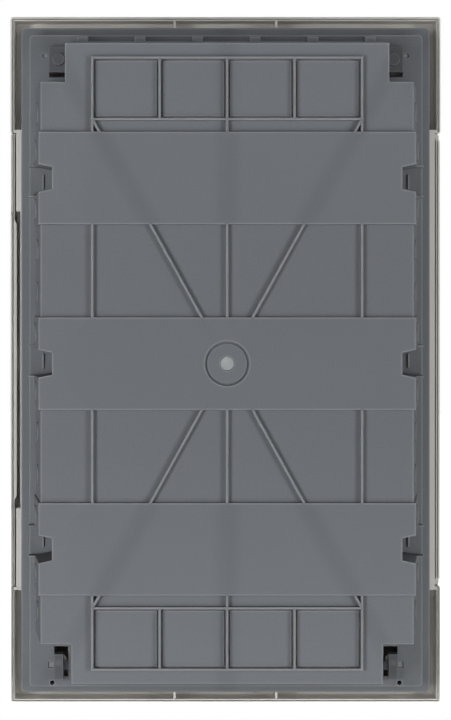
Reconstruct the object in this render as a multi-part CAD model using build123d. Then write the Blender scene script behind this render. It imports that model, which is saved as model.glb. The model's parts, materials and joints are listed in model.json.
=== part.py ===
from build123d import *
from math import atan2, degrees
import os

# Flush-mount distribution board with three rows of modular devices, in millimetres.
# X runs to the right seen from the front, Y from the front to the back, Z up.
# The origin is the centre fixing hole, at the floor of its dimple in the rear panel.

# Rows of devices; a row takes twelve modules of 18 mm
ROWS = 3
ROW_PITCH = 125.0
ROW_WIDTH = 216.0
SLOT_PLAY = 0.75
SLOT_HEIGHT = 46.0
RAIL_TO_COVER = 46.0

# Wall box: drafted tub behind a square collar
WALL = 2.2
BOX_DEPTH = 74.0
COLLAR_DEPTH = 18.5
SIDE_MARGIN = 19.0
END_ZONE = 60.0
DRAFT = 6.9
LEDGE_X = 3.5
LEDGE_Z = 4.6
LIP_WIDTH = 6.8
LIP_THICK = 2.4
LIP_RADIUS = 3.0

# Rear panel relief
BAND_STEP = 3.4
BAND_INSET = 1.1
RIB_WIDTH = 1.7
GRID_MARGIN = 14.4
GRID_START = 8.4
GRID_HEIGHT = 41.4
GROOVE_WIDTH = 0.9
GROOVE_DEPTH = 1.3
DIMPLE_RADIUS = 15.0
DIMPLE_DEPTH = 1.2
RING_WIDTH = 1.3
RING_DEPTH = 0.7
FIXING_RADIUS = 4.6
LUG_WIDTH = 7.5
LUG_MARGIN = 5.7
LUG_RISE = 3.6
LUG_DEPTH = 20.0
SIDE_DISC_RADIUS = 7.0
SIDE_DISC_RISE = 1.2
SIDE_DISC_OFFSET = 20.0
SIDE_DISC_GAP = 14.6

# Notches in the rear corners and sides
UPPER_NOTCH_X = 17.5
UPPER_NOTCH_Z = 26.2
LOWER_NOTCH_X = 21.8
LOWER_NOTCH_Z = 26.8
SIDE_NOTCH_DEPTH = 9.0
SIDE_NOTCH_INNER = 14.8
SIDE_NOTCH_OUTER = 18.5
STOP_LENGTH = 9.8
STOP_WIDTH = 1.0
STOP_RISE = 1.5
FLANK_OFFSET = 10.5
FLANK_RISE = 9.0

# Trim frame
PROJECTION = 20.0
FRAME_OVERLAP_X = 7.9
FRAME_OVERLAP_Z = 8.1
FRAME_WALL = 2.0
FRAME_RADIUS = 2.0
RIM_WALL = 2.8
RIM_EDGE = 1.4
RIM_GROOVE = 0.7
RIM_GROOVE_DEPTH = 2.5
HEAD_MARGIN = 35.8
MEMBER_THICK = 2.0
MEMBER_SETBACK = 0.4
MEMBER_GAP = 1.2
COLLAR_CLEARANCE = 0.8
COLLAR_INSERT = 12.0
COLLAR_WALL = 1.8
HEAD_RIB_X = 36.0
HEAD_RIB_WIDTH = 1.6

# Door
DOOR_PLATE = 2.4
DOOR_RIB = 1.6
DOOR_GAP = 0.5
DOOR_REAR_GAP = 2.0
DOOR_RADIUS = 1.4
DOOR_LIP = 10.0
GRIP_HALF = 105.0
GRIP_WALL = 4.4
GRIP_GAP = 3.0
HINGE_IN_X = 4.0
HINGE_IN_Y = 5.0
HINGE_RADIUS = 2.0
HINGE_CLEARANCE = 0.05
HINGE_LENGTH = 6.0
HINGE_SWING_GAP = 1.0
SOCKET_WALL = 2.0
CATCH_LENGTH = 20.0
CATCH_WIDTH = 2.5
CATCH_INSET = 3.0
CATCH_RISE = 5.0
CATCH_GRIP = 2.5
CATCH_GAP = 0.5
DOOR_EDGE = 1.0

# Row covers and their locks
COVER_SETBACK = 6.0
COVER_THICK = 2.2
COVER_PLAY = 0.6
COVER_SEAT = 7.0
COVER_FLANGE = 4.8
COVER_FLANGE_WIDTH = 1.6
LOCK_HEAD_RADIUS = 5.0
LOCK_HEAD_HEIGHT = 1.8
LOCK_SHANK_RADIUS = 3.0
LOCK_CLEARANCE = 0.05
LOCK_TIP_GAP = 2.7
LOCK_TONGUE = 2.0
LOCK_TONGUE_WIDTH = 5.0
LOCK_GAP = 0.4
LOCK_SLOT = 1.4

# Mounting rails
RAIL_WIDTH = 35.0
RAIL_DEPTH = 7.5
RAIL_SHEET = 1.0
RAIL_HAT = 27.0
RAIL_END_GAP = 2.5
RAIL_SCREW_INSET = 7.5
POST_RADIUS = 5.0

# Screws
SCREW_RADIUS = 2.0
SCREW_HOLE = 2.2
SCREW_HEAD_RADIUS = 3.8
SCREW_HEAD_HEIGHT = 2.4
SCREW_SLOT = 1.1
SCREW_BITE = 8.0
PILOT_CLEARANCE = 0.05

# Frame fixings in the corners
FIX_INSET_X = 10.5
FIX_INSET_Z = 6.25
TUBE_RADIUS = 5.4
CAP_RADIUS = 4.2
CAP_THICK = 1.6
CAP_CLEARANCE = 0.1
HEAD_SINK = 6.0
UPPER_CLIP_WIDTH = 13.8
UPPER_CLIP_HEIGHT = 17.8
LOWER_CLIP_WIDTH = 6.6
LOWER_CLIP_HEIGHT = 18.0
CLIP_THICK = 6.0
CLIP_BOSS = 4.3
CLIP_BOSS_RISE = 2.0
CLIP_FLOOR = 1.0
LOWER_CLIP_DROP = 3.0
SCREW_TIP = 1.5
WINDOW_HEIGHT = 3.0
NAIL_RADIUS = 1.5

# Terminal carrier
CARRIER_HEIGHT = 14.0
CARRIER_THICK = 6.0
CARRIER_SETBACK = 40.0
BAR_END_GAP = 7.0
BAR_GAP = 12.0
BAR_SECTION = 7.0
TERMINALS = 7
TERMINAL_HOLE = 1.9
TERMINAL_SCREW = 2.1
TERMINAL_HEAD_RISE = 1.2

# Derived levels and half sizes
REAR_Y = DIMPLE_DEPTH
WALL_Y = REAR_Y - BOX_DEPTH
FRONT_Y = WALL_Y - PROJECTION
RECESS_Y = REAR_Y - BAND_STEP
LEDGE_Y = WALL_Y + COLLAR_DEPTH
LEDGE_FRONT_Y = LEDGE_Y - WALL
COVER_Y = WALL_Y + COVER_SETBACK
COVER_BACK_Y = COVER_Y + COVER_THICK
RAIL_Y = COVER_Y + RAIL_TO_COVER
RAIL_BACK_Y = RAIL_Y + RAIL_DEPTH
BAND_HALF = ROW_PITCH / 4
ROW_Z = [ROW_PITCH * (i - (ROWS - 1) / 2) for i in range(ROWS)]
TOP_ROW = ROW_PITCH * (ROWS - 1) / 2
DEVICES_HALF = ROW_WIDTH / 2
REAR_X = DEVICES_HALF + SIDE_MARGIN
BAND_END = TOP_ROW + BAND_HALF
REAR_Z = BAND_END + END_ZONE
COLLAR_X = REAR_X + DRAFT + LEDGE_X
COLLAR_Z = REAR_Z + DRAFT + LEDGE_Z
LIP_X = COLLAR_X + LIP_WIDTH
LIP_Z = COLLAR_Z + LIP_WIDTH
FRAME_X = LIP_X + FRAME_OVERLAP_X
FRAME_Z = LIP_Z + FRAME_OVERLAP_Z
HEAD_Z = TOP_ROW + HEAD_MARGIN
INSERT_X = COLLAR_X - WALL - COLLAR_CLEARANCE
INSERT_Z = COLLAR_Z - WALL - COLLAR_CLEARANCE
MEMBER_X = FRAME_X - RIM_WALL - MEMBER_GAP
MEMBER_BACK_Y = WALL_Y - MEMBER_SETBACK
MEMBER_Y = MEMBER_BACK_Y - MEMBER_THICK
NOTCH_X = REAR_X - SIDE_NOTCH_DEPTH
FIX_X = REAR_X - FIX_INSET_X
FIX_Z = REAR_Z - FIX_INSET_Z
GRID_Z = BAND_END + GRID_START
GRID_HALF = REAR_X - LOWER_NOTCH_X - GRID_MARGIN
LUG_PITCH = (REAR_X - LOWER_NOTCH_X - LUG_MARGIN) / 2.5
OPEN_X = INSERT_X - COLLAR_WALL
HINGE_X = -FRAME_X + HINGE_IN_X
HINGE_Y = FRONT_Y + HINGE_IN_Y
DOOR_Z = HEAD_Z - DOOR_GAP
SLOT_X = DEVICES_HALF + SLOT_PLAY
LOCK_X = (SLOT_X + OPEN_X) / 2
LOCK_REACH = OPEN_X - LOCK_TIP_GAP - LOCK_X
RAIL_HALF = NOTCH_X - WALL - RAIL_END_GAP
RAIL_SCREW_X = RAIL_HALF - RAIL_SCREW_INSET
CARRIER_Y = WALL_Y + CARRIER_SETBACK
CARRIER_BACK_Y = CARRIER_Y + CARRIER_THICK
CARRIER_Z = GRID_Z + GRID_HEIGHT / 2
CARRIER_POST_X = GRID_HALF + (GRID_MARGIN - WALL) / 2
CARRIER_HALF = CARRIER_POST_X + POST_RADIUS
BAR_Y = CARRIER_Y - BAR_SECTION
BAR_LENGTH = CARRIER_POST_X - SCREW_HEAD_RADIUS - BAR_END_GAP - BAR_GAP / 2
TERMINAL_PITCH = BAR_LENGTH / TERMINALS
LOWER_CLIP_Z = -FIX_Z - LOWER_CLIP_DROP
CATCH_X = INSERT_X + CATCH_INSET
CUT = 1.0
BIG = 2 * FRAME_Z


def block(x0, x1, y0, y1, z0, z1):
    """Box between two corners."""
    return Pos((x0 + x1) / 2, (y0 + y1) / 2, (z0 + z1) / 2) * Box(x1 - x0, y1 - y0, z1 - z0)


def slab(half_x, half_z, y0, y1):
    """Box centred on the Y axis."""
    return block(-half_x, half_x, y0, y1, -half_z, half_z)


def rod(radius, y0, y1, x, z):
    """Cylinder along Y."""
    cylinder = Cylinder(radius, y1 - y0, align=(Align.CENTER, Align.CENTER, Align.MIN))
    return Pos(x, y0, z) * Rot(-90, 0, 0) * cylinder


def prism(points, y0, y1):
    """Outline in X and Z, carried from y0 to y1."""
    face = make_face(Polyline(*[(x, y0, z) for x, z in points], close=True))
    return extrude(face, y1 - y0, dir=(0, 1, 0))


def drafted(half_x, half_z, y0, y1):
    """Block with moulding draft: half sizes at the rear y1, wider by the draft at y0."""
    body = slab(half_x, half_z, y0, y1)
    sides = body.faces().filter_by(Axis.X) + body.faces().filter_by(Axis.Z)
    rear = Plane((0, y1, 0), x_dir=(1, 0, 0), z_dir=(0, 1, 0))
    return draft(sides, rear, degrees(atan2(DRAFT, y1 - y0)))


def both(solid):
    """The solid and its mirror image across the middle, side to side."""
    return solid + mirror(solid, Plane.YZ)


def four(solid):
    """The solid in all four quarters."""
    pair = both(solid)
    return pair + mirror(pair, Plane.XY)


def radial_rib(z0, z1):
    """Rib on a line through the centre, with level ends at z0 and z1."""
    slope = GRID_HALF / GRID_Z
    half = RIB_WIDTH / 2 * (1 + slope ** 2) ** 0.5
    points = [(slope * z0 - half, z0), (slope * z0 + half, z0),
              (slope * z1 + half, z1), (slope * z1 - half, z1)]
    return prism(points, RECESS_Y - WALL / 2, REAR_Y)


def side_notch(row, grow):
    """Notch for a row in both sides, wider by grow."""
    taper = (SIDE_NOTCH_OUTER - SIDE_NOTCH_INNER) / 2 / SIDE_NOTCH_DEPTH
    inner = SIDE_NOTCH_INNER / 2 + grow
    reach = SIDE_NOTCH_DEPTH + DRAFT + LEDGE_X
    outer = inner + taper * reach
    x0 = NOTCH_X - grow
    x1 = x0 + reach
    points = [(x0, row - inner), (x1, row - outer), (x1, row + outer), (x0, row + inner)]
    return both(prism(points, LEDGE_Y - grow, REAR_Y + CUT))


def corner_notches(grow):
    """Notches in the four rear corners, wider by grow."""
    y0 = LEDGE_Y - grow
    upper = block(REAR_X - UPPER_NOTCH_X - grow, BIG, y0, BIG, REAR_Z - UPPER_NOTCH_Z - grow, BIG)
    lower = block(REAR_X - LOWER_NOTCH_X - grow, BIG, y0, BIG, -BIG, LOWER_NOTCH_Z - REAR_Z + grow)
    return both(upper) + both(lower)


def tub_shape(inset, y0):
    """Drafted tub with its three raised bands, smaller by inset."""
    base_x = REAR_X - BAND_INSET - inset
    shape = drafted(base_x, REAR_Z - inset, y0, RECESS_Y - inset)
    hoop = drafted(REAR_X - inset, REAR_Z - inset, y0, REAR_Y - inset)
    for row in ROW_Z:
        shape += hoop & block(-BIG, BIG, -BIG, BIG, row - BAND_HALF + inset, row + BAND_HALF - inset)
    return shape


def make_back_box():
    outer = tub_shape(0, LEDGE_Y)
    rise = drafted(REAR_X, REAR_Z + LUG_RISE, LEDGE_Y, RECESS_Y)
    for i in range(6):
        x = LUG_PITCH * (i - 2.5)
        outer += rise & block(x - LUG_WIDTH / 2, x + LUG_WIDTH / 2, -BIG, LEDGE_Y + LUG_DEPTH, 0, BIG)
    disc_y = (LEDGE_Y + RECESS_Y) / 2
    plain = drafted(REAR_X - BAND_INSET + SIDE_DISC_RISE, REAR_Z, LEDGE_Y, RECESS_Y)
    hoop = drafted(REAR_X + SIDE_DISC_RISE, REAR_Z, LEDGE_Y, REAR_Y)
    cross = Rot(0, 90, 0) * Cylinder(SIDE_DISC_RADIUS, 2 * BIG)
    end = BAND_END + SIDE_DISC_GAP
    gaps = [ROW_PITCH * (i - (ROWS - 2) / 2) for i in range(ROWS - 1)]
    between = [z + s * SIDE_DISC_GAP for z in gaps for s in (-1, 1)]
    for z in between + [end, -end]:
        outer += plain & (Pos(0, disc_y, z) * cross)
    for z in [row + s * SIDE_DISC_OFFSET for row in ROW_Z for s in (-1, 1)]:
        outer += hoop & (Pos(0, disc_y, z) * cross)

    inner = tub_shape(WALL, LEDGE_FRONT_Y)
    outer -= corner_notches(0)
    inner -= corner_notches(WALL)
    for row in ROW_Z:
        outer -= side_notch(row, 0)
        inner -= side_notch(row, WALL)

    collar = slab(COLLAR_X, COLLAR_Z, WALL_Y, LEDGE_Y)
    lip = slab(LIP_X, LIP_Z, WALL_Y, WALL_Y + LIP_THICK)
    lip = fillet(lip.edges().filter_by(Axis.Y), LIP_RADIUS)
    collar = fillet(collar.edges().filter_by(Axis.Y), LIP_RADIUS)
    box = outer + collar + lip
    box -= slab(COLLAR_X - WALL, COLLAR_Z - WALL, WALL_Y - CUT, LEDGE_FRONT_Y)
    box -= inner

    # Ribs in the recessed bands, level with the raised ones
    low = RECESS_Y - WALL / 2
    half = RIB_WIDTH / 2
    for i in range(ROWS - 1):
        z = ROW_PITCH * (i - (ROWS - 2) / 2)
        for x in (-GRID_HALF, 0, GRID_HALF):
            box += block(x - half, x + half, low, REAR_Y, z - BAND_HALF, z + BAND_HALF)
    middle = (ROW_PITCH / 2 - BAND_HALF, ROW_PITCH / 2 + BAND_HALF)
    box += four(radial_rib(*middle))
    box += four(radial_rib(BAND_END, GRID_Z + half))

    # Grid of cable knock-outs at both ends
    cell = GRID_HALF / 2
    top = GRID_Z + GRID_HEIGHT
    for side in (-1, 1):
        for i in range(5):
            x = GRID_HALF * (i / 2 - 1)
            z0 = BAND_END if i % 2 == 0 else GRID_Z
            ends = sorted((side * z0, side * (top + half)))
            box += block(x - half, x + half, low, REAR_Y, ends[0], ends[1])
        for z in (side * GRID_Z, side * top):
            box += block(-GRID_HALF, GRID_HALF, low, REAR_Y, z - half, z + half)
        for i in range(4):
            x = GRID_HALF * (i - 1.5) / 2
            z = side * (GRID_Z + top) / 2
            wide = cell / 2 - half
            high = GRID_HEIGHT / 2 - half
            ring = block(x - wide, x + wide, RECESS_Y - GROOVE_DEPTH, RECESS_Y, z - high, z + high)
            wide -= GROOVE_WIDTH
            high -= GROOVE_WIDTH
            box -= ring - block(x - wide, x + wide, -BIG, BIG, z - high, z + high)

    # Posts for the rails and the terminal carrier
    for row in ROW_Z:
        box += both(rod(POST_RADIUS, RAIL_BACK_Y, REAR_Y - WALL / 2, RAIL_SCREW_X, row))
        pilot = rod(SCREW_RADIUS + PILOT_CLEARANCE, RAIL_BACK_Y - CUT, RAIL_BACK_Y + SCREW_BITE,
                    RAIL_SCREW_X, row)
        box -= both(pilot)
    box += both(rod(POST_RADIUS, CARRIER_BACK_Y, RECESS_Y - WALL / 2, CARRIER_POST_X, CARRIER_Z))
    pilot = rod(SCREW_RADIUS + PILOT_CLEARANCE, CARRIER_BACK_Y - CUT, CARRIER_BACK_Y + SCREW_BITE,
                CARRIER_POST_X, CARRIER_Z)
    box -= both(pilot)

    # Centre fixing hole in its dimple, with the wall kept full behind it
    box += rod(DIMPLE_RADIUS + WALL, -WALL, REAR_Y - WALL / 2, 0, 0)
    box -= rod(DIMPLE_RADIUS, 0, REAR_Y + CUT, 0, 0)
    box -= rod(DIMPLE_RADIUS, -RING_DEPTH, CUT, 0, 0) - rod(DIMPLE_RADIUS - RING_WIDTH, -BIG, BIG, 0, 0)
    box -= rod(FIXING_RADIUS, -WALL - CUT, REAR_Y + CUT, 0, 0)

    # Holes and windows in the corner floors
    low = LEDGE_FRONT_Y - CUT
    high = LEDGE_Y + CUT
    for z in (FIX_Z, -FIX_Z):
        box -= both(rod(SCREW_HOLE, low, high, FIX_X, z))
    half = UPPER_CLIP_WIDTH / 2
    z = FIX_Z - UPPER_CLIP_HEIGHT / 2
    box -= both(block(FIX_X - half, FIX_X + half, low, high, z - WINDOW_HEIGHT, z))
    box -= both(rod(NAIL_RADIUS, LEDGE_Y - WALL / 2, high, FIX_X + half + WINDOW_HEIGHT,
                    FIX_Z + WINDOW_HEIGHT))
    half = LOWER_CLIP_WIDTH / 2
    z = LOWER_CLIP_Z + LOWER_CLIP_HEIGHT / 2
    box -= both(block(FIX_X - half - WINDOW_HEIGHT, FIX_X + half, low, high, z, z + 1.5 * WINDOW_HEIGHT))
    box -= both(block(FIX_X - half - WINDOW_HEIGHT, FIX_X - half, low, high, z - 2 * WINDOW_HEIGHT, z))
    z = LOWER_CLIP_Z - WINDOW_HEIGHT / 2
    side = 1.4 * WINDOW_HEIGHT
    box -= both(block(FIX_X + half, FIX_X + half + side, LEDGE_Y - WALL / 2, high, z, z + side))
    z = LOWER_CLIP_Z - WINDOW_HEIGHT
    box -= both(block(FIX_X - half - WINDOW_HEIGHT, FIX_X - half, low, high, z - side, z))
    z = LOWER_CLIP_Z - LOWER_CLIP_HEIGHT / 2 - WINDOW_HEIGHT
    box -= both(rod(NAIL_RADIUS, low, high, FIX_X + half + WINDOW_HEIGHT / 2, z))

    # Stop rib on the floor of each side notch, and low flanks beside it
    for row in ROW_Z:
        stop = block(REAR_X, REAR_X + STOP_WIDTH, LEDGE_Y - WALL / 2, LEDGE_Y + STOP_RISE,
                     row - STOP_LENGTH / 2, row + STOP_LENGTH / 2)
        box += both(stop)
        for z in (row - FLANK_OFFSET, row + FLANK_OFFSET):
            box += both(block(REAR_X, COLLAR_X, LEDGE_Y - WALL / 2, LEDGE_Y + FLANK_RISE,
                              z - STOP_WIDTH / 2, z + STOP_WIDTH / 2))
    return box


def make_head(side):
    """Hollow header or footer of the trim frame; side is 1 or -1."""
    z0 = HEAD_Z
    wall = FRAME_WALL
    low = FRONT_Y + wall / 2
    head = block(-FRAME_X, FRAME_X, FRONT_Y, WALL_Y, z0, FRAME_Z)
    head = fillet(head.edges().filter_by(Axis.Y).group_by(Axis.Z)[-1], FRAME_RADIUS)
    front = head.faces().sort_by(Axis.Y)[0].edges().sort_by(Axis.Z)
    head = chamfer(front[0], DOOR_EDGE)
    front = head.faces().sort_by(Axis.Y)[0].edges().sort_by(Axis.Z)[1:]
    head = fillet(front, DOOR_RADIUS)
    x = FRAME_X - RIM_WALL
    head -= block(-x, x, FRONT_Y + wall, BIG, z0 + wall, FRAME_Z - RIM_WALL)
    rib = HEAD_RIB_WIDTH / 2
    head += both(block(HEAD_RIB_X - rib, HEAD_RIB_X + rib, low, WALL_Y - CUT, INSERT_Z - COLLAR_WALL / 2,
                       FRAME_Z - RIM_WALL / 2))
    # Groove along the rim that meets the wall
    x = FRAME_X - RIM_EDGE
    z = FRAME_Z - RIM_EDGE
    groove = block(-x, x, WALL_Y - RIM_GROOVE_DEPTH, BIG, -BIG, z)
    x -= RIM_GROOVE
    z -= RIM_GROOVE
    head -= groove - block(-x, x, -BIG, BIG, -BIG, z)
    # Collar walls that enter the wall box, and the wall beside the covers
    insert = WALL_Y + COLLAR_INSERT
    head += block(-INSERT_X, INSERT_X, low, insert, INSERT_Z - COLLAR_WALL, INSERT_Z)
    head += both(block(OPEN_X, INSERT_X, low, insert, z0 + wall / 2, INSERT_Z))
    head += block(-INSERT_X, INSERT_X, low, COVER_BACK_Y + MEMBER_THICK, z0, z0 + wall)
    # Screw tubes that seat on the corner floors
    head += both(rod(TUBE_RADIUS, FRONT_Y, LEDGE_FRONT_Y, FIX_X, FIX_Z))
    head -= both(rod(SCREW_HOLE, FRONT_Y - CUT, BIG, FIX_X, FIX_Z))
    head -= both(rod(CAP_RADIUS, FRONT_Y - CUT, FRONT_Y + HEAD_SINK, FIX_X, FIX_Z))
    # Hinge socket
    reach = HINGE_IN_X + HINGE_RADIUS + SOCKET_WALL
    depth = HINGE_IN_Y + HINGE_RADIUS + SOCKET_WALL
    head += block(-FRAME_X + wall / 2, -FRAME_X + reach, low, FRONT_Y + depth,
                  z0, z0 + HINGE_LENGTH + SOCKET_WALL)
    head -= Pos(HINGE_X, HINGE_Y, z0 - CUT) * Cylinder(
        HINGE_RADIUS + HINGE_CLEARANCE, HINGE_LENGTH + CUT, align=(Align.CENTER, Align.CENTER, Align.MIN))
    if side < 0:
        head = mirror(head, Plane.XY)
    return head


def make_trim_frame():
    frame = make_head(1) + make_head(-1)
    z = HEAD_Z + FRAME_WALL / 2
    insert = WALL_Y + COLLAR_INSERT
    frame += both(block(OPEN_X, MEMBER_X, MEMBER_Y, MEMBER_BACK_Y, -z, z))
    frame += both(block(OPEN_X, INSERT_X, MEMBER_Y, insert, -z, z))
    frame -= block(MEMBER_X - GRIP_GAP, FRAME_X, MEMBER_Y - CUT, WALL_Y, -GRIP_HALF, GRIP_HALF)
    # Ledge on which the covers lie
    seat = slab(OPEN_X + COLLAR_WALL / 2, z, COVER_BACK_Y, COVER_BACK_Y + MEMBER_THICK)
    frame += seat - slab(OPEN_X - COVER_SEAT, HEAD_Z - COVER_SEAT, -BIG, BIG)
    # Upstand that the door's catch ribs grip
    half = CATCH_LENGTH / 2
    frame += block(CATCH_X, CATCH_X + CATCH_WIDTH, MEMBER_Y - CATCH_RISE, MEMBER_Y + MEMBER_THICK / 2,
                   -half, half)
    return frame


def make_door():
    door = block(-FRAME_X, FRAME_X, FRONT_Y, WALL_Y - DOOR_REAR_GAP, -DOOR_Z, DOOR_Z)
    front = door.faces().sort_by(Axis.Y)[0].edges()
    door = fillet(front.filter_by(Axis.Z), DOOR_RADIUS)
    door = chamfer(door.faces().sort_by(Axis.Y)[0].edges().filter_by(Axis.X), DOOR_EDGE)
    far = FRAME_X - RIM_WALL
    door -= block(-far, far, FRONT_Y + DOOR_PLATE, BIG, -DOOR_Z + DOOR_PLATE, DOOR_Z - DOOR_PLATE)
    # The end lips are shallow and the return on the hinge side stops short of the frame
    door -= block(-BIG, far, FRONT_Y + DOOR_LIP, BIG, DOOR_Z - 2 * DOOR_PLATE, BIG)
    door -= block(-BIG, far, FRONT_Y + DOOR_LIP, BIG, -BIG, -DOOR_Z + 2 * DOOR_PLATE)
    swing = MEMBER_Y - HINGE_SWING_GAP - HINGE_Y
    back = HINGE_Y + (swing ** 2 - HINGE_IN_X ** 2) ** 0.5
    door -= block(-BIG, 0, back, BIG, -BIG, BIG)
    # Grip: thicker return with sloped ends along the opening side
    run = GRIP_WALL * 2
    x0 = FRAME_X - GRIP_WALL
    points = [(FRAME_X, -GRIP_HALF), (FRAME_X, GRIP_HALF), (x0, GRIP_HALF - run), (x0, run - GRIP_HALF)]
    door += prism(points, FRONT_Y + DOOR_PLATE, WALL_Y - DOOR_REAR_GAP / 2)
    # The rim's groove runs on along the returns
    x0 = FRAME_X - RIM_EDGE - RIM_GROOVE
    x1 = FRAME_X - RIM_EDGE
    door -= block(x0, x1, WALL_Y - DOOR_REAR_GAP - RIM_GROOVE_DEPTH, BIG, -BIG, BIG)
    door -= block(-x1, -x0, back - RIM_GROOVE_DEPTH, BIG, -BIG, BIG)
    # Catch ribs and stiffening ribs on the inside
    half = CATCH_LENGTH / 2
    low = FRONT_Y + DOOR_PLATE / 2
    tip = MEMBER_Y - CATCH_RISE + CATCH_GRIP
    for x in (CATCH_X - CATCH_GAP - DOOR_RIB, CATCH_X + CATCH_WIDTH + CATCH_GAP):
        door += block(x, x + DOOR_RIB, low, tip, -half, half)
    for z in (-ROW_PITCH / 2, ROW_PITCH / 2):
        door += block(-FRAME_X + DOOR_LIP, FRAME_X - DOOR_LIP, low, FRONT_Y + 2 * DOOR_PLATE,
                      z - DOOR_RIB / 2, z + DOOR_RIB / 2)
    # Pivot pins at both ends
    pin = Pos(HINGE_X, HINGE_Y, DOOR_Z - DOOR_PLATE / 2) * Cylinder(
        HINGE_RADIUS, HINGE_LENGTH + DOOR_PLATE / 2, align=(Align.CENTER, Align.CENTER, Align.MIN))
    door += pin
    door += mirror(pin, Plane.XY)
    return door


def make_cover(index):
    """Cover of one row, with a flanged slot for the devices."""
    row = ROW_Z[index]
    end = HEAD_Z - COVER_PLAY
    z0 = -end if index == 0 else row - ROW_PITCH / 2 + COVER_PLAY / 2
    z1 = end if index == ROWS - 1 else row + ROW_PITCH / 2 - COVER_PLAY / 2
    half = SLOT_HEIGHT / 2
    cover = block(-OPEN_X + COVER_PLAY, OPEN_X - COVER_PLAY, COVER_Y, COVER_BACK_Y, z0, z1)
    flange = half + COVER_FLANGE_WIDTH
    cover += block(-SLOT_X, SLOT_X, COVER_BACK_Y, COVER_BACK_Y + COVER_FLANGE, row - flange, row + flange)
    cover -= block(-SLOT_X, SLOT_X, COVER_Y - CUT, BIG, row - half, row + half)
    cover -= both(rod(LOCK_SHANK_RADIUS + LOCK_CLEARANCE, COVER_Y - CUT, BIG, LOCK_X, row))
    return cover


def make_lock(side, row):
    """Quarter-turn lock with its tongue behind the frame's ledge."""
    x = side * LOCK_X
    head_y = COVER_Y - LOCK_HEAD_HEIGHT
    tongue = COVER_BACK_Y + MEMBER_THICK + LOCK_GAP
    steps = [(head_y, LOCK_HEAD_RADIUS), (COVER_Y, LOCK_SHANK_RADIUS), (tongue + LOCK_TONGUE, 0)]
    lock = turned(steps, x, row)
    ends = sorted((x, x + side * LOCK_REACH))
    half = LOCK_TONGUE_WIDTH / 2
    lock += block(ends[0], ends[1], tongue, tongue + LOCK_TONGUE, row - half, row + half)
    half = LOCK_SLOT / 2
    lock -= block(x - LOCK_HEAD_RADIUS, x + LOCK_HEAD_RADIUS, -BIG, (head_y + COVER_Y) / 2,
                  row - half, row + half)
    return lock


def make_rail(row):
    """Top-hat mounting rail, folded from sheet."""
    across = Plane((0, RAIL_Y, row), x_dir=(0, 1, 0), z_dir=(1, 0, 0))
    low = (Align.MIN, Align.CENTER)
    profile = Rectangle(RAIL_SHEET, RAIL_WIDTH, align=low) + Rectangle(RAIL_DEPTH, RAIL_HAT, align=low)
    profile -= Rectangle(RAIL_DEPTH - RAIL_SHEET, RAIL_HAT - 2 * RAIL_SHEET, align=low)
    rail = extrude(across * profile, RAIL_HALF, both=True)
    rail -= both(rod(SCREW_HOLE, RAIL_Y, BIG, RAIL_SCREW_X, row))
    return rail


def turned(steps, x, z):
    """Piece turned about a line along Y, from (y, radius) steps."""
    profile = [(0, steps[0][0])]
    for (y0, radius), (y1, _) in zip(steps, steps[1:]):
        profile += [(radius, y0), (radius, y1)]
    profile.append((0, steps[-1][0]))
    face = make_face(Polyline(*profile, close=True))
    return Pos(x, 0, z) * revolve(face, Axis.Y)


def make_screw(seat_y, tip_y, x, z):
    """Slotted cheese-head screw with its head in front of seat_y."""
    head_y = seat_y - SCREW_HEAD_HEIGHT
    screw = turned([(head_y, SCREW_HEAD_RADIUS), (seat_y, SCREW_RADIUS), (tip_y, 0)], x, z)
    half = SCREW_SLOT / 2
    screw -= block(x - SCREW_HEAD_RADIUS, x + SCREW_HEAD_RADIUS, -BIG, (head_y + seat_y) / 2,
                   z - half, z + half)
    return screw


def make_clip(width, height, z):
    """Nut clip behind a corner floor; the upper one has a round boss over the frame screw."""
    half = width / 2
    fix = FIX_Z if z > 0 else -FIX_Z
    clip = block(FIX_X - half, FIX_X + half, LEDGE_Y, LEDGE_Y + CLIP_THICK, z - height / 2, z + height / 2)
    if z > 0:
        clip += rod(CLIP_BOSS, LEDGE_Y, LEDGE_Y + CLIP_THICK + CLIP_BOSS_RISE, FIX_X, fix)
    end = LEDGE_Y + CLIP_THICK - CLIP_FLOOR
    clip -= rod(SCREW_RADIUS + PILOT_CLEARANCE, LEDGE_Y - CUT, end, FIX_X, fix)
    return clip


def make_bar(side):
    """Brass terminal bar with its row of wire holes."""
    x0 = side * BAR_GAP / 2
    ends = sorted((x0, x0 + side * BAR_LENGTH))
    half = BAR_SECTION / 2
    bar = block(ends[0], ends[1], BAR_Y, CARRIER_Y, CARRIER_Z - half, CARRIER_Z + half)
    for x in terminal_places(side):
        bar -= Pos(x, (BAR_Y + CARRIER_Y) / 2, CARRIER_Z) * Cylinder(TERMINAL_HOLE, BAR_SECTION + 2 * CUT)
    return bar


def terminal_places(side):
    """X positions of a bar's terminals."""
    middle = side * (BAR_GAP + BAR_LENGTH) / 2
    return [middle + TERMINAL_PITCH * (i - (TERMINALS - 1) / 2) for i in range(TERMINALS)]


def make_terminal_screws(side):
    """Clamping screws standing on the front of a bar."""
    screws = []
    for x in terminal_places(side):
        screw = rod(TERMINAL_SCREW, BAR_Y - TERMINAL_HEAD_RISE, BAR_Y, x, CARRIER_Z)
        half = SCREW_SLOT / 2
        screw -= block(x - half, x + half, -BIG, BAR_Y - TERMINAL_HEAD_RISE / 2, -BIG, BIG)
        screws.append(screw)
    return Compound(children=screws)


def pair_of(solid):
    """Two separate solids, mirrored side to side."""
    return [solid, mirror(solid, Plane.YZ)]


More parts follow.
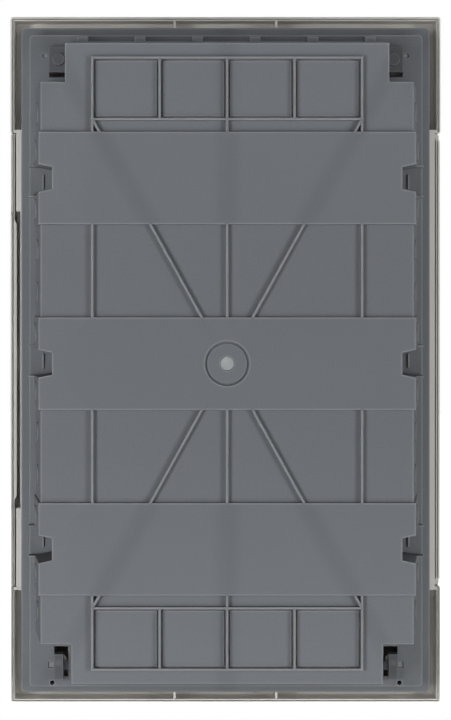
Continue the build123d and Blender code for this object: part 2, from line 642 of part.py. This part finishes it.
parts = {}
parts["back_box"] = make_back_box()
parts["trim_frame"] = make_trim_frame()
parts["door"] = make_door()
for index, level in enumerate(("lower", "middle", "upper")):
    row = ROW_Z[index]
    parts["cover_" + level] = make_cover(index)
    parts["din_rail_" + level] = make_rail(row)
    parts["cover_lock_" + level + "_left"] = make_lock(-1, row)
    parts["cover_lock_" + level + "_right"] = make_lock(1, row)

seat = RAIL_BACK_Y - RAIL_SHEET
rail_screws = []
for row in ROW_Z:
    rail_screws += pair_of(make_screw(seat, RAIL_BACK_Y + SCREW_BITE, RAIL_SCREW_X, row))
parts["rail_screws"] = Compound(children=rail_screws)

carrier = block(-CARRIER_HALF, CARRIER_HALF, CARRIER_Y, CARRIER_BACK_Y,
                CARRIER_Z - CARRIER_HEIGHT / 2, CARRIER_Z + CARRIER_HEIGHT / 2)
carrier -= both(rod(SCREW_HOLE, CARRIER_Y - CUT, BIG, CARRIER_POST_X, CARRIER_Z))
parts["terminal_carrier"] = carrier
carrier_screw = make_screw(CARRIER_Y, CARRIER_BACK_Y + SCREW_BITE, CARRIER_POST_X, CARRIER_Z)
parts["carrier_screws"] = Compound(children=pair_of(carrier_screw))
for name, side in (("neutral", -1), ("earth", 1)):
    parts[name + "_bar"] = make_bar(side)
    parts[name + "_bar_screws"] = make_terminal_screws(side)

frame_screws = []
frame_caps = []
for z in (FIX_Z, -FIX_Z):
    tip = LEDGE_Y + CLIP_THICK - SCREW_TIP
    frame_screws += pair_of(make_screw(FRONT_Y + HEAD_SINK, tip, FIX_X, z))
    frame_caps += pair_of(rod(CAP_RADIUS - CAP_CLEARANCE, FRONT_Y, FRONT_Y + CAP_THICK, FIX_X, z))
parts["frame_screws"] = Compound(children=frame_screws)
parts["frame_screw_caps"] = Compound(children=frame_caps)
clip = make_clip(UPPER_CLIP_WIDTH, UPPER_CLIP_HEIGHT, FIX_Z)
parts["upper_corner_clips"] = Compound(children=pair_of(clip))
clip = make_clip(LOWER_CLIP_WIDTH, LOWER_CLIP_HEIGHT, LOWER_CLIP_Z)
parts["lower_corner_clips"] = Compound(children=pair_of(clip))

os.makedirs("parts", exist_ok=True)
for name, shape in parts.items():
    export_step(shape, "parts/" + name + ".step")
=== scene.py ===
import json
import math

import bmesh
import bpy
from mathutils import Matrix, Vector


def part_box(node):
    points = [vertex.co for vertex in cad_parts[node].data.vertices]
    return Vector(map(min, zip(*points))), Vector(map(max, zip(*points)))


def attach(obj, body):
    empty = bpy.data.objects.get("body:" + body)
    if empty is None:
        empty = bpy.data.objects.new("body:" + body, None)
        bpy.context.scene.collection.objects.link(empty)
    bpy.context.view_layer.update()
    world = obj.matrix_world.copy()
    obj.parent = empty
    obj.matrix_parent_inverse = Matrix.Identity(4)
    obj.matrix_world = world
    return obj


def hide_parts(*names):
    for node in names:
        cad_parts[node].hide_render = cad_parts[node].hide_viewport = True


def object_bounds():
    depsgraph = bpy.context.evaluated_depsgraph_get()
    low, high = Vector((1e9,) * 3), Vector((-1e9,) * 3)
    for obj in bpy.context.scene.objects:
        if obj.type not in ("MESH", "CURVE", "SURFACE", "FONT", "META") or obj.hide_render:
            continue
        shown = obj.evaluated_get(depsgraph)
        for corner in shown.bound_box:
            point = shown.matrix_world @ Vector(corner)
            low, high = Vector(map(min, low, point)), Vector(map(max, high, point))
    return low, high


# Flush-mount distribution board seen from behind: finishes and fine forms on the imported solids.
# Lengths are in metres, in the frame of the solids: X across, Y out of the back, Z up.

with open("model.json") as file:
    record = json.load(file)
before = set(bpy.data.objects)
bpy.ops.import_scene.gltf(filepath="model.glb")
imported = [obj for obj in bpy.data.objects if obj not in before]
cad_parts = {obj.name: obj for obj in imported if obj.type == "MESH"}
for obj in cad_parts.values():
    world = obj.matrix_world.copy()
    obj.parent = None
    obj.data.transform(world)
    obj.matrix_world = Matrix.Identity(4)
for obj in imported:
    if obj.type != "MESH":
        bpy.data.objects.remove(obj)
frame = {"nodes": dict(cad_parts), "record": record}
solids_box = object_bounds()
nodes = frame["nodes"]
record = frame["record"]
BODY_OF = {node: body for body, members in record["behaviour"]["bodies"].items() for node in members}
SLOT_OF = {part["node"]: part["material_slot"] for part in record["subparts"]}
MM = 0.001

# Edges of the moulded and pressed pieces
ROUNDING = {"back_box": 0.4 * MM, "trim_frame": 0.25 * MM, "door": 0.3 * MM}
SMALL_ROUNDING = 0.2 * MM
WELD = 0.004 * MM  # corners of the solids' triangles nearer than this are one point
SAME_PLANE = math.radians(0.4)  # triangles that meet at less than this are one face
ROUNDED_FROM = math.radians(35)  # edges that bend more than this are rounded
CREASED_FROM = math.radians(14)  # edges that bend more than this are not shaded smooth

# Slotted screws with a 4 mm thread
TURNED = ("frame_screws", "rail_screws", "carrier_screws")
HEAD_RADIUS = 3.8 * MM
HEAD_HEIGHT = 2.4 * MM
SLOT_WIDTH = 1.1 * MM
THREAD_RADIUS = 2.0 * MM
THREAD_DEPTH = 0.35 * MM
THREAD_PITCH = 1.0 * MM
HEAD_SIDES = 40
CORE_SIDES = 24
STEPS_PER_TURN = 18

# Tub: where the sink marks and the drift of tone lie on its rear panel
SPOKE_SLOPE = 0.5515  # distance across for each unit of height, along the slanted ribs
SINK_CORE = 2 * MM
SINK_EDGE = 12 * MM
BANDS_FROM = 90 * MM  # the outer bands start here, above and below the centre,
BANDS_FULL = 97 * MM  # and show the sink marks fully from here
DRIFT_FROM = 60 * MM
DRIFT_FULL = 220 * MM

# Tub: its walls, from the ledge at their foot up to the rear panel
WALL_FOOT = -60 * MM
WALL_TOP = -5 * MM
DEEP_FROM = -40 * MM  # flat faces between here
DEEP_FULL = -50 * MM  # and here take the ledge's painted light and shade
LEDGE_SIDE = 205 * MM  # the ledge's sides reach up to here,
LEDGE_END = 228 * MM  # and its ends lie here
STEEP, LEVEL = 0.3, 0.7  # how far walls, at most, and flat faces, at least, look to the back or the front

# Painted shade and highlight: how far the painted shade reaches out of a crease, and the painted
# highlight in from an edge
SHADE_HIGHLIGHT_REACH = 1.5 * MM
SHADE_HIGHLIGHT_SAMPLES = 6

# Sockets that share a name, by their place: the limits of Map Range, Mix with colours and with numbers
FROM_MIN, FROM_MAX, TO_MIN, TO_MAX = 1, 2, 3, 4
SHARE, UNDER, OVER, MIXED = 0, 6, 7, 2
AT_NONE, AT_FULL = 2, 3


# Nodes and colours

def linear(code):
    """Linear RGBA of an sRGB hex colour."""
    parts = [int(code[i:i + 2], 16) / 255 for i in (1, 3, 5)]
    return [c / 12.92 if c <= 0.04045 else ((c + 0.055) / 1.055) ** 2.4 for c in parts] + [1.0]


def add(tree, kind, inputs=None, **settings):
    """One node with its settings; inputs holds values, or sockets to link."""
    node = tree.nodes.new(kind)
    for name, value in settings.items():
        setattr(node, name, value)
    for key, value in (inputs or {}).items():
        if isinstance(value, bpy.types.NodeSocket):
            tree.links.new(value, node.inputs[key])
        else:
            node.inputs[key].default_value = value
    return node


def blank(name, **sockets):
    """New material with its shader's plain values set; gives it with its tree and shader."""
    material = bpy.data.materials.new(name)
    material.use_nodes = True
    tree = material.node_tree
    shader = tree.nodes["Principled BSDF"]
    for key, value in sockets.items():
        shader.inputs[key.replace("_", " ")].default_value = value
    return material, tree, shader


# Materials

def shade_creases_light_edges(tree, colour, highlight_colour, dark, highlight_strength):
    """The colour with painted shade in its creases and a painted highlight on its edges, paled towards
    the given colour.

    The deepest painted shade keeps the share dark of the colour. The strength of the painted highlight is
    a number or a socket.
    """
    # Painted shade: the colour is darkened where ambient occlusion finds a crease.
    hollow = add(tree, "ShaderNodeAmbientOcclusion", {"Distance": SHADE_HIGHLIGHT_REACH}, samples=SHADE_HIGHLIGHT_SAMPLES)
    crease_shade = add(tree, "ShaderNodeMapRange", {"Value": hollow.outputs["AO"], FROM_MIN: 0.2, FROM_MAX: 0.75,
                                            TO_MIN: dark, TO_MAX: 1.0})
    crease_shaded = add(tree, "ShaderNodeMix", {SHARE: 1.0, UNDER: colour, OVER: crease_shade.outputs["Result"]},
                data_type="RGBA", blend_type="MULTIPLY")
    # Painted highlight: the colour is paled near convex edges.
    edge = add(tree, "ShaderNodeAmbientOcclusion", {"Distance": SHADE_HIGHLIGHT_REACH},
               samples=SHADE_HIGHLIGHT_SAMPLES, inside=True)
    edge_highlight = add(tree, "ShaderNodeMapRange", {"Value": edge.outputs["AO"], FROM_MIN: 0.95, FROM_MAX: 0.55,
                                              TO_MIN: 0.0, TO_MAX: highlight_strength})
    shaded_and_highlighted = add(tree, "ShaderNodeMix", {SHARE: edge_highlight.outputs["Result"], UNDER: crease_shaded.outputs[MIXED],
                                       OVER: linear(highlight_colour)}, data_type="RGBA")
    return shaded_and_highlighted.outputs[MIXED]


def rib_sink(tree, across, height):
    """Share of sink mark at a point: the ribs' lines run on through the outer bands.

    One line is upright and two are slanted, and all pass through the centre.
    """
    slanted = add(tree, "ShaderNodeMath", {0: height, 1: -SPOKE_SLOPE, 2: across},
                  operation="MULTIPLY_ADD")
    off_slant = add(tree, "ShaderNodeMath", {0: slanted.outputs[0]}, operation="ABSOLUTE")
    nearest = add(tree, "ShaderNodeMath", {0: across, 1: off_slant.outputs[0]}, operation="MINIMUM")
    sunk = add(tree, "ShaderNodeMapRange", {"Value": nearest.outputs[0], FROM_MIN: SINK_EDGE,
                                            FROM_MAX: SINK_CORE, TO_MIN: 0.0, TO_MAX: 1.0},
               interpolation_type="SMOOTHSTEP")
    banded = add(tree, "ShaderNodeMapRange", {"Value": height, FROM_MIN: BANDS_FROM, FROM_MAX: BANDS_FULL,
                                              TO_MIN: 0.0, TO_MAX: 1.0})
    sink = add(tree, "ShaderNodeMath", {0: sunk.outputs["Result"], 1: banded.outputs["Result"]},
               operation="MULTIPLY")
    return sink.outputs[0]


def spark_textured_polypropylene():
    """Grey recycled polypropylene, moulded against a spark-eroded tool.

    It looks dull and slightly grainy, its tone drifts where the melt flowed, and it sinks faintly
    over the ribs of the inner side. Painted shade darkens the sink marks, the walls, the creases and the
    ends of the ledge, painted light pales the sides of the ledge, a painted highlight pales the edges,
    and the colour is darker at mid height than towards the top and bottom ends.
    """
    material, tree, shader = blank("spark_textured_polypropylene", IOR=1.49)
    where = add(tree, "ShaderNodeTexCoord").outputs
    place = add(tree, "ShaderNodeSeparateXYZ", {0: where["Object"]}).outputs
    across = add(tree, "ShaderNodeMath", {0: place["X"]}, operation="ABSOLUTE").outputs[0]
    height = add(tree, "ShaderNodeMath", {0: place["Z"]}, operation="ABSOLUTE").outputs[0]

    flow = add(tree, "ShaderNodeTexNoise", {"Vector": where["Object"], "Scale": 1 / (95 * MM),
                                            "Detail": 2.0})
    tone = add(tree, "ShaderNodeMix", {SHARE: flow.outputs["Fac"], UNDER: linear("#727579"),
                                       OVER: linear("#73777d")}, data_type="RGBA")
    # The real spark pits are about 0.1 mm wide; 1.2 mm is the finest that shows.
    grain = add(tree, "ShaderNodeTexNoise", {"Vector": where["Object"], "Scale": 1 / (1.2 * MM),
                                             "Detail": 3.0}).outputs["Fac"]
    fleck = add(tree, "ShaderNodeMapRange", {"Value": grain, FROM_MIN: 0.3, FROM_MAX: 0.7,
                                             TO_MIN: 0.95, TO_MAX: 1.05})
    grained = add(tree, "ShaderNodeMix", {SHARE: 1.0, UNDER: tone.outputs[MIXED],
                                          OVER: fleck.outputs["Result"]},
                  data_type="RGBA", blend_type="MULTIPLY")
    sink = rib_sink(tree, across, height)
    # Painted shade along the sink marks: the colour is up to 10% darker there. The dents themselves are
    # the bump below.
    shade = add(tree, "ShaderNodeMapRange", {"Value": sink, TO_MIN: 1.0, TO_MAX: 0.9})
    sink_shaded = add(tree, "ShaderNodeMix", {SHARE: 1.0, UNDER: grained.outputs[MIXED],
                                         OVER: shade.outputs["Result"]},
                 data_type="RGBA", blend_type="MULTIPLY")
    # The colour is darker at mid height and paler towards the top and bottom ends.
    drift = add(tree, "ShaderNodeMapRange", {"Value": height, FROM_MIN: DRIFT_FROM, FROM_MAX: DRIFT_FULL,
                                             TO_MIN: 0.96, TO_MAX: 1.14})
    drifted = add(tree, "ShaderNodeMix", {SHARE: 1.0, UNDER: sink_shaded.outputs[MIXED],
                                          OVER: drift.outputs["Result"]},
                  data_type="RGBA", blend_type="MULTIPLY")

    # The walls are drawn along the tool and are duller. Painted shade makes them darker than the flat
    # faces, most of all beside the rear panel, and they take less of the painted edge highlight. On the
    # ledge at their foot, painted light makes the sides paler and painted shade makes the ends darker.
    facing = add(tree, "ShaderNodeSeparateXYZ", {0: where["Normal"]}).outputs["Y"]
    flat = add(tree, "ShaderNodeMath", {0: facing}, operation="ABSOLUTE").outputs[0]
    wall = add(tree, "ShaderNodeMapRange", {"Value": place["Y"], FROM_MIN: WALL_FOOT, FROM_MAX: WALL_TOP,
                                            TO_MIN: 0.86, TO_MAX: 0.68})
    ledge = add(tree, "ShaderNodeMapRange", {"Value": height, FROM_MIN: LEDGE_SIDE, FROM_MAX: LEDGE_END,
                                             TO_MIN: 1.14, TO_MAX: 0.93})
    deep = add(tree, "ShaderNodeMapRange", {"Value": place["Y"], FROM_MIN: DEEP_FROM, FROM_MAX: DEEP_FULL,
                                            TO_MIN: 0.0, TO_MAX: 1.0})
    foot = add(tree, "ShaderNodeMix", {SHARE: deep.outputs["Result"], AT_NONE: 1.0,
                                       AT_FULL: ledge.outputs["Result"]})
    # Painted shade on the walls, by how far they face sideways, and painted light and shade on the ledge.
    drawn = add(tree, "ShaderNodeMapRange", {"Value": flat, FROM_MIN: STEEP, FROM_MAX: LEVEL,
                                             TO_MIN: wall.outputs["Result"], TO_MAX: foot.outputs[0]})
    wall_shaded = add(tree, "ShaderNodeMix", {SHARE: 1.0, UNDER: drifted.outputs[MIXED],
                                         OVER: drawn.outputs["Result"]},
                 data_type="RGBA", blend_type="MULTIPLY")
    # The painted edge highlight is weaker on the walls than on the flat faces.
    highlight_strength = add(tree, "ShaderNodeMapRange", {"Value": flat, FROM_MIN: 0.2, FROM_MAX: 0.6,
                                           TO_MIN: 0.08, TO_MAX: 0.62})
    shaded_and_highlighted = shade_creases_light_edges(tree, wall_shaded.outputs[MIXED], "#acaeb0", 0.6, highlight_strength.outputs["Result"])
    tree.links.new(shaded_and_highlighted, shader.inputs["Base Color"])

    gloss = add(tree, "ShaderNodeMapRange", {"Value": grain, TO_MIN: 0.46, TO_MAX: 0.6})
    scuffed = add(tree, "ShaderNodeMapRange", {"Value": flat, FROM_MIN: STEEP, FROM_MAX: LEVEL,
                                               TO_MIN: 0.95, TO_MAX: gloss.outputs["Result"]})
    tree.links.new(scuffed.outputs["Result"], shader.inputs["Roughness"])
    pits = add(tree, "ShaderNodeBump", {"Strength": 0.25, "Distance": 0.1 * MM, "Height": grain})
    dents = add(tree, "ShaderNodeBump", {"Strength": 0.5, "Distance": 0.25 * MM, "Height": sink,
                                         "Normal": pits.outputs["Normal"]}, invert=True)
    tree.links.new(dents.outputs["Normal"], shader.inputs["Normal"])
    return material


def satin_plastic(name, code, highlight_colour):
    """Engineering plastic from a finely etched tool: even colour and soft sheen, with painted shade in
    its creases and a painted highlight that makes its edges slightly paler.
    """
    material, tree, shader = blank(name, IOR=1.53)
    where = add(tree, "ShaderNodeTexCoord").outputs["Object"]
    cloud = add(tree, "ShaderNodeTexNoise", {"Vector": where, "Scale": 1 / (70 * MM), "Detail": 2.0})
    fleck = add(tree, "ShaderNodeMapRange", {"Value": cloud.outputs["Fac"], FROM_MIN: 0.3, FROM_MAX: 0.7,
                                             TO_MIN: 0.98, TO_MAX: 1.02})
    tone = add(tree, "ShaderNodeMix", {SHARE: 1.0, UNDER: linear(code), OVER: fleck.outputs["Result"]},
               data_type="RGBA", blend_type="MULTIPLY")
    # Painted shade in the creases and a painted highlight on the edges.
    shaded_and_highlighted = shade_creases_light_edges(tree, tone.outputs[MIXED], highlight_colour, 0.5, 0.4)
    tree.links.new(shaded_and_highlighted, shader.inputs["Base Color"])
    # The etched grain is about 0.08 mm; 0.9 mm is the finest that shows.
    grain = add(tree, "ShaderNodeTexNoise", {"Vector": where, "Scale": 1 / (0.9 * MM),
                                             "Detail": 2.0}).outputs["Fac"]
    gloss = add(tree, "ShaderNodeMapRange", {"Value": grain, TO_MIN: 0.36, TO_MAX: 0.48})
    tree.links.new(gloss.outputs["Result"], shader.inputs["Roughness"])
    etched = add(tree, "ShaderNodeBump", {"Strength": 0.15, "Distance": 0.05 * MM, "Height": grain})
    tree.links.new(etched.outputs["Normal"], shader.inputs["Normal"])
    return material


def rolled_metal(name, code, dark, stretch, roughness):
    """Metal with drawn lines along X, about 0.4 mm apart, and a cloudy plating or tarnish.

    The lines are as long as stretch, in millimetres.
    """
    material, tree, shader = blank(name, Metallic=1.0)
    where = add(tree, "ShaderNodeTexCoord").outputs["Object"]
    line_scale = [1 / (stretch * MM), 1 / (0.4 * MM), 1 / (0.4 * MM)]
    drawn = add(tree, "ShaderNodeMapping", {"Vector": where, "Scale": line_scale})
    lines = add(tree, "ShaderNodeTexNoise", {"Vector": drawn.outputs[0], "Scale": 1.0,
                                             "Detail": 2.0}).outputs["Fac"]
    cloud = add(tree, "ShaderNodeTexNoise", {"Vector": where, "Scale": 1 / (9 * MM), "Detail": 3.0})
    blend = add(tree, "ShaderNodeMath", {0: lines, 1: cloud.outputs["Fac"]}, operation="MULTIPLY")
    share = add(tree, "ShaderNodeMapRange", {"Value": blend.outputs[0], FROM_MIN: 0.12, FROM_MAX: 0.4})
    tone = add(tree, "ShaderNodeMix", {SHARE: share.outputs["Result"], UNDER: linear(dark),
                                       OVER: linear(code)}, data_type="RGBA")
    tree.links.new(tone.outputs[MIXED], shader.inputs["Base Color"])
    gloss = add(tree, "ShaderNodeMapRange", {"Value": lines, TO_MIN: roughness - 0.08,
                                             TO_MAX: roughness + 0.1})
    tree.links.new(gloss.outputs["Result"], shader.inputs["Roughness"])
    score = add(tree, "ShaderNodeBump", {"Strength": 0.2, "Distance": 0.03 * MM, "Height": lines})
    tree.links.new(score.outputs["Normal"], shader.inputs["Normal"])
    return material


TUB = spark_textured_polypropylene()
TRIM = satin_plastic("light_grey_abs", "#e7e4de", "#f0eee9")
COVER = satin_plastic("pale_grey_abs_cover", "#d9d7d2", "#eeece8")
NYLON = satin_plastic("dark_grey_nylon", "#63666a", "#909295")
LOCK = satin_plastic("slate_grey_acetal", "#7b7e82", "#a5a7a9")
ZINC = rolled_metal("zinc_plated_steel", "#d2d4d6", "#bec1c4", 40, 0.3)
BRASS = rolled_metal("machined_brass", "#d6b266", "#b8913f", 25, 0.28)

FINISH = {
    "tub_plastic": TUB, "trim_plastic": TRIM, "door_plastic": TRIM, "cap_plastic": TRIM,
    "cover_plastic": COVER, "lock_plastic": LOCK, "clip_plastic": NYLON, "carrier_plastic": NYLON,
    "rail_steel": ZINC, "zinc_steel": ZINC, "brass": BRASS,
}


# Pieces

def link(name, data):
    """New object of a mesh, a light or a camera, in the scene."""
    piece = bpy.data.objects.new(name, data)
    bpy.context.scene.collection.objects.link(piece)
    return piece


def settle(piece, node):
    """The piece rides with the node's body and stands for the node, which is hidden."""
    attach(piece, BODY_OF[node])
    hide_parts(node)


def plain_mesh(piece):
    """Turns the piece's modifiers into a plain mesh."""
    evaluated = piece.evaluated_get(bpy.context.evaluated_depsgraph_get())
    mesh = bpy.data.meshes.new_from_object(evaluated)
    piece.modifiers.clear()
    piece.data = mesh


def rounded(node, width):
    """A solid with its flat faces joined and its edges rounded."""
    mesh = nodes[node].data.copy()
    bm = bmesh.new()
    bm.from_mesh(mesh)
    bmesh.ops.remove_doubles(bm, verts=bm.verts, dist=WELD)
    bmesh.ops.dissolve_limit(bm, angle_limit=SAME_PLANE, verts=bm.verts, edges=bm.edges)
    bmesh.ops.triangulate(bm, faces=[face for face in bm.faces if len(face.verts) > 4])
    for face in bm.faces:
        face.smooth = True
    bm.to_mesh(mesh)
    bm.free()
    mesh.materials.clear()
    mesh.materials.append(FINISH[SLOT_OF[node]])
    piece = link(node + "_finished", mesh)
    bevel = piece.modifiers.new("rounding", "BEVEL")
    bevel.width = width
    bevel.segments = 2
    bevel.limit_method = "ANGLE"
    bevel.angle_limit = ROUNDED_FROM
    bevel.use_clamp_overlap = False
    bevel.loop_slide = False
    plain_mesh(piece)
    piece.data.set_sharp_from_angle(angle=CREASED_FROM)
    settle(piece, node)


def screw_tree():
    """Slotted cheese-head screws on points, with a turned thread; each point is the seat of a head."""
    tree = bpy.data.node_groups.new("slotted_screws", "GeometryNodeTree")
    tree.interface.new_socket("Places", in_out="INPUT", socket_type="NodeSocketGeometry")
    sizes = ("Head Radius", "Head Height", "Slot Width", "Length", "Core Radius", "Thread Depth", "Pitch")
    for name in sizes:
        tree.interface.new_socket(name, in_out="INPUT", socket_type="NodeSocketFloat")
    tree.interface.new_socket("Material", in_out="INPUT", socket_type="NodeSocketMaterial")
    tree.interface.new_socket("Screws", in_out="OUTPUT", socket_type="NodeSocketGeometry")
    given = add(tree, "NodeGroupInput").outputs

    # Head, below its seat, and the slot cut half-way into it
    half = add(tree, "ShaderNodeMath", {0: given["Head Height"], 1: -0.5}, operation="MULTIPLY")
    head_at = add(tree, "ShaderNodeCombineXYZ", {"Z": half.outputs[0]})
    head = add(tree, "GeometryNodeMeshCylinder", {"Vertices": HEAD_SIDES, "Radius": given["Head Radius"],
                                                  "Depth": given["Head Height"]})
    head = add(tree, "GeometryNodeTransform", {"Geometry": head.outputs["Mesh"],
                                               "Translation": head_at.outputs[0]})
    wide = add(tree, "ShaderNodeMath", {0: given["Head Radius"], 1: 3.0}, operation="MULTIPLY")
    cut_size = add(tree, "ShaderNodeCombineXYZ", {"X": wide.outputs[0], "Y": given["Slot Width"],
                                                  "Z": given["Head Height"]})
    top = add(tree, "ShaderNodeMath", {0: given["Head Height"], 1: -1.0}, operation="MULTIPLY")
    cut_at = add(tree, "ShaderNodeCombineXYZ", {"Z": top.outputs[0]})
    cut = add(tree, "GeometryNodeMeshCube", {"Size": cut_size.outputs[0]})
    cut = add(tree, "GeometryNodeTransform", {"Geometry": cut.outputs["Mesh"],
                                              "Translation": cut_at.outputs[0]})
    slotted = add(tree, "GeometryNodeMeshBoolean", {"Mesh 1": head.outputs[0], "Mesh 2": cut.outputs[0]},
                  operation="DIFFERENCE")

    # Core of the shank, and the thread wound on it
    middle = add(tree, "ShaderNodeMath", {0: given["Length"], 1: 0.5}, operation="MULTIPLY")
    core_at = add(tree, "ShaderNodeCombineXYZ", {"Z": middle.outputs[0]})
    core = add(tree, "GeometryNodeMeshCylinder", {"Vertices": CORE_SIDES, "Radius": given["Core Radius"],
                                                  "Depth": given["Length"]})
    core = add(tree, "GeometryNodeTransform", {"Geometry": core.outputs["Mesh"],
                                               "Translation": core_at.outputs[0]})
    run = add(tree, "ShaderNodeMath", {0: given["Thread Depth"], 1: -2.0, 2: given["Length"]},
              operation="MULTIPLY_ADD")
    turns = add(tree, "ShaderNodeMath", {0: run.outputs[0], 1: given["Pitch"]}, operation="DIVIDE")
    spiral = add(tree, "GeometryNodeCurveSpiral", {
        "Resolution": STEPS_PER_TURN, "Rotations": turns.outputs[0], "Height": run.outputs[0],
        "Start Radius": given["Core Radius"], "End Radius": given["Core Radius"]})
    level = add(tree, "GeometryNodeSetCurveNormal", {"Curve": spiral.outputs[0]}, mode="Z_UP")
    ridge = add(tree, "GeometryNodeCurvePrimitiveCircle", {"Resolution": 4,
                                                           "Radius": given["Thread Depth"]})
    thread = add(tree, "GeometryNodeCurveToMesh", {
        "Curve": level.outputs[0], "Profile Curve": ridge.outputs["Curve"], "Fill Caps": True})
    thread_at = add(tree, "ShaderNodeCombineXYZ", {"Z": given["Thread Depth"]})
    thread = add(tree, "GeometryNodeTransform", {"Geometry": thread.outputs[0],
                                                 "Translation": thread_at.outputs[0]})

    # The screw is turned to point along Y, and one is put at each place
    screw = add(tree, "GeometryNodeJoinGeometry")
    for part in (slotted.outputs["Mesh"], core.outputs[0], thread.outputs[0]):
        tree.links.new(part, screw.inputs[0])
    turned = add(tree, "GeometryNodeTransform", {"Geometry": screw.outputs[0],
                                                 "Rotation": (-math.pi / 2, 0, 0)})
    placed = add(tree, "GeometryNodeInstanceOnPoints", {"Points": given["Places"],
                                                        "Instance": turned.outputs[0]})
    real = add(tree, "GeometryNodeRealizeInstances", {"Geometry": placed.outputs[0]})
    painted = add(tree, "GeometryNodeSetMaterial", {"Geometry": real.outputs[0],
                                                    "Material": given["Material"]})
    add(tree, "NodeGroupOutput", {"Screws": painted.outputs[0]})
    return tree


def centres(node):
    """Middle of each separate solid of a node, in X and Z."""
    bm = bmesh.new()
    bm.from_mesh(nodes[node].data)
    bmesh.ops.remove_doubles(bm, verts=bm.verts, dist=WELD)
    seen = set()
    found = []
    for start in bm.verts:
        if start in seen:
            continue
        group = [start]
        seen.add(start)
        for vert in group:
            for edge in vert.link_edges:
                other = edge.other_vert(vert)
                if other not in seen:
                    seen.add(other)
                    group.append(other)
        xs = [v.co.x for v in group]
        zs = [v.co.z for v in group]
        found.append(((min(xs) + max(xs)) / 2, (min(zs) + max(zs)) / 2))
    bm.free()
    return found


def screws(node, tree):
    """All the screws of a node, with heads, slots and threads."""
    low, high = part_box(node)
    seat = low.y + HEAD_HEIGHT
    places = bpy.data.meshes.new(node + "_places")
    places.from_pydata([(x, seat, z) for x, z in centres(node)], [], [])
    piece = link(node + "_finished", places)
    made = piece.modifiers.new("screws", "NODES")
    made.node_group = tree
    values = {"Head Radius": HEAD_RADIUS, "Head Height": HEAD_HEIGHT, "Slot Width": SLOT_WIDTH,
              "Length": high.y - seat, "Core Radius": THREAD_RADIUS - THREAD_DEPTH,
              "Thread Depth": THREAD_DEPTH, "Pitch": THREAD_PITCH, "Material": FINISH[SLOT_OF[node]]}
    for item in tree.interface.items_tree:
        if item.in_out == "INPUT" and item.name in values:
            made[item.identifier] = values[item.name]
    plain_mesh(piece)
    settle(piece, node)


SCREWS = screw_tree()
for node in sorted(nodes):
    if node in TURNED:
        screws(node, SCREWS)
    else:
        rounded(node, ROUNDING.get(node, SMALL_ROUNDING))


# Stage: white paper that ends near the plane of the wall, so that little of it lies below the tub

FLOOR_REACH = 3.5
FLOOR_EDGE = -0.07
FLOOR_GAP = 0.5 * MM
PAPER = linear("#f4f4f4")
paper, _, _ = blank("white_studio_floor", Roughness=0.9, Base_Color=PAPER, Emission_Color=PAPER,
                    Emission_Strength=1.1)
ground = solids_box[0].z - FLOOR_GAP
floor_mesh = bpy.data.meshes.new("floor")
floor_mesh.from_pydata([(-FLOOR_REACH, -FLOOR_REACH, ground), (FLOOR_REACH, -FLOOR_REACH, ground),
                        (FLOOR_REACH, FLOOR_EDGE, ground), (-FLOOR_REACH, FLOOR_EDGE, ground)],
                       [], [(0, 1, 2, 3)])
floor_mesh.materials.append(paper)
link("floor", floor_mesh)


# Light: a white room that the camera sees bright and the board only faintly, and soft boxes

ROOM_LIGHT = 0.04
ROOM_SEEN = 1.0
# Place, width and height in metres, and watts; each box faces the fixing hole at the origin.
SOFTBOXES = {
    "left_softbox": ((1.02, 1.25, -0.12), (0.5, 1.0), 13.4),
    "right_softbox": ((-1.25, 1.05, -0.12), (0.5, 1.0), 11.2),
    "low_softbox": ((0.0, 1.2, -1.2), (1.0, 0.5), 4),
    "lens_fill": ((0.03, 1.6, 0.08), (0.15, 0.15), 0.8),
    "top_softbox": ((0.0, 0.0, 1.8), (0.8, 0.8), 7),
    "front_left_softbox": ((-0.7, -1.0, 1.1), (0.8, 1.0), 7),
    "front_right_softbox": ((1.1, -1.1, 0.4), (0.8, 1.0), 1.5),
}

world = bpy.data.worlds.new("white_studio")
world.use_nodes = True
bpy.context.scene.world = world
room = world.node_tree
seen = add(room, "ShaderNodeLightPath").outputs["Is Camera Ray"]
level = add(room, "ShaderNodeMix", {SHARE: seen, AT_NONE: ROOM_LIGHT, AT_FULL: ROOM_SEEN})
backdrop = room.nodes["Background"]
backdrop.inputs["Color"].default_value = (1, 1, 1, 1)
room.links.new(level.outputs[0], backdrop.inputs["Strength"])

for name, (place, size, watts) in SOFTBOXES.items():
    lamp = bpy.data.lights.new(name, "AREA")
    lamp.shape = "RECTANGLE"
    lamp.size, lamp.size_y = size
    lamp.energy = watts
    holder = link(name, lamp)
    holder.location = place
    holder.rotation_euler = (-Vector(place)).to_track_quat("-Z", "Y").to_euler()


# Camera: square to the back, with the shift that the photo's framing needs

CAMERA_PLACE = (0.0233, 1.444, 0.0527)
camera = bpy.data.cameras.new("camera")
camera.sensor_width = 36
camera.lens = 107.2
camera.shift_x = 0.0458
camera.shift_y = -0.1036
eye = link("camera", camera)
eye.location = CAMERA_PLACE
eye.rotation_euler = (math.radians(90), 0, math.radians(180))
bpy.context.scene.camera = eye
bpy.context.scene.view_settings.view_transform = "Standard"
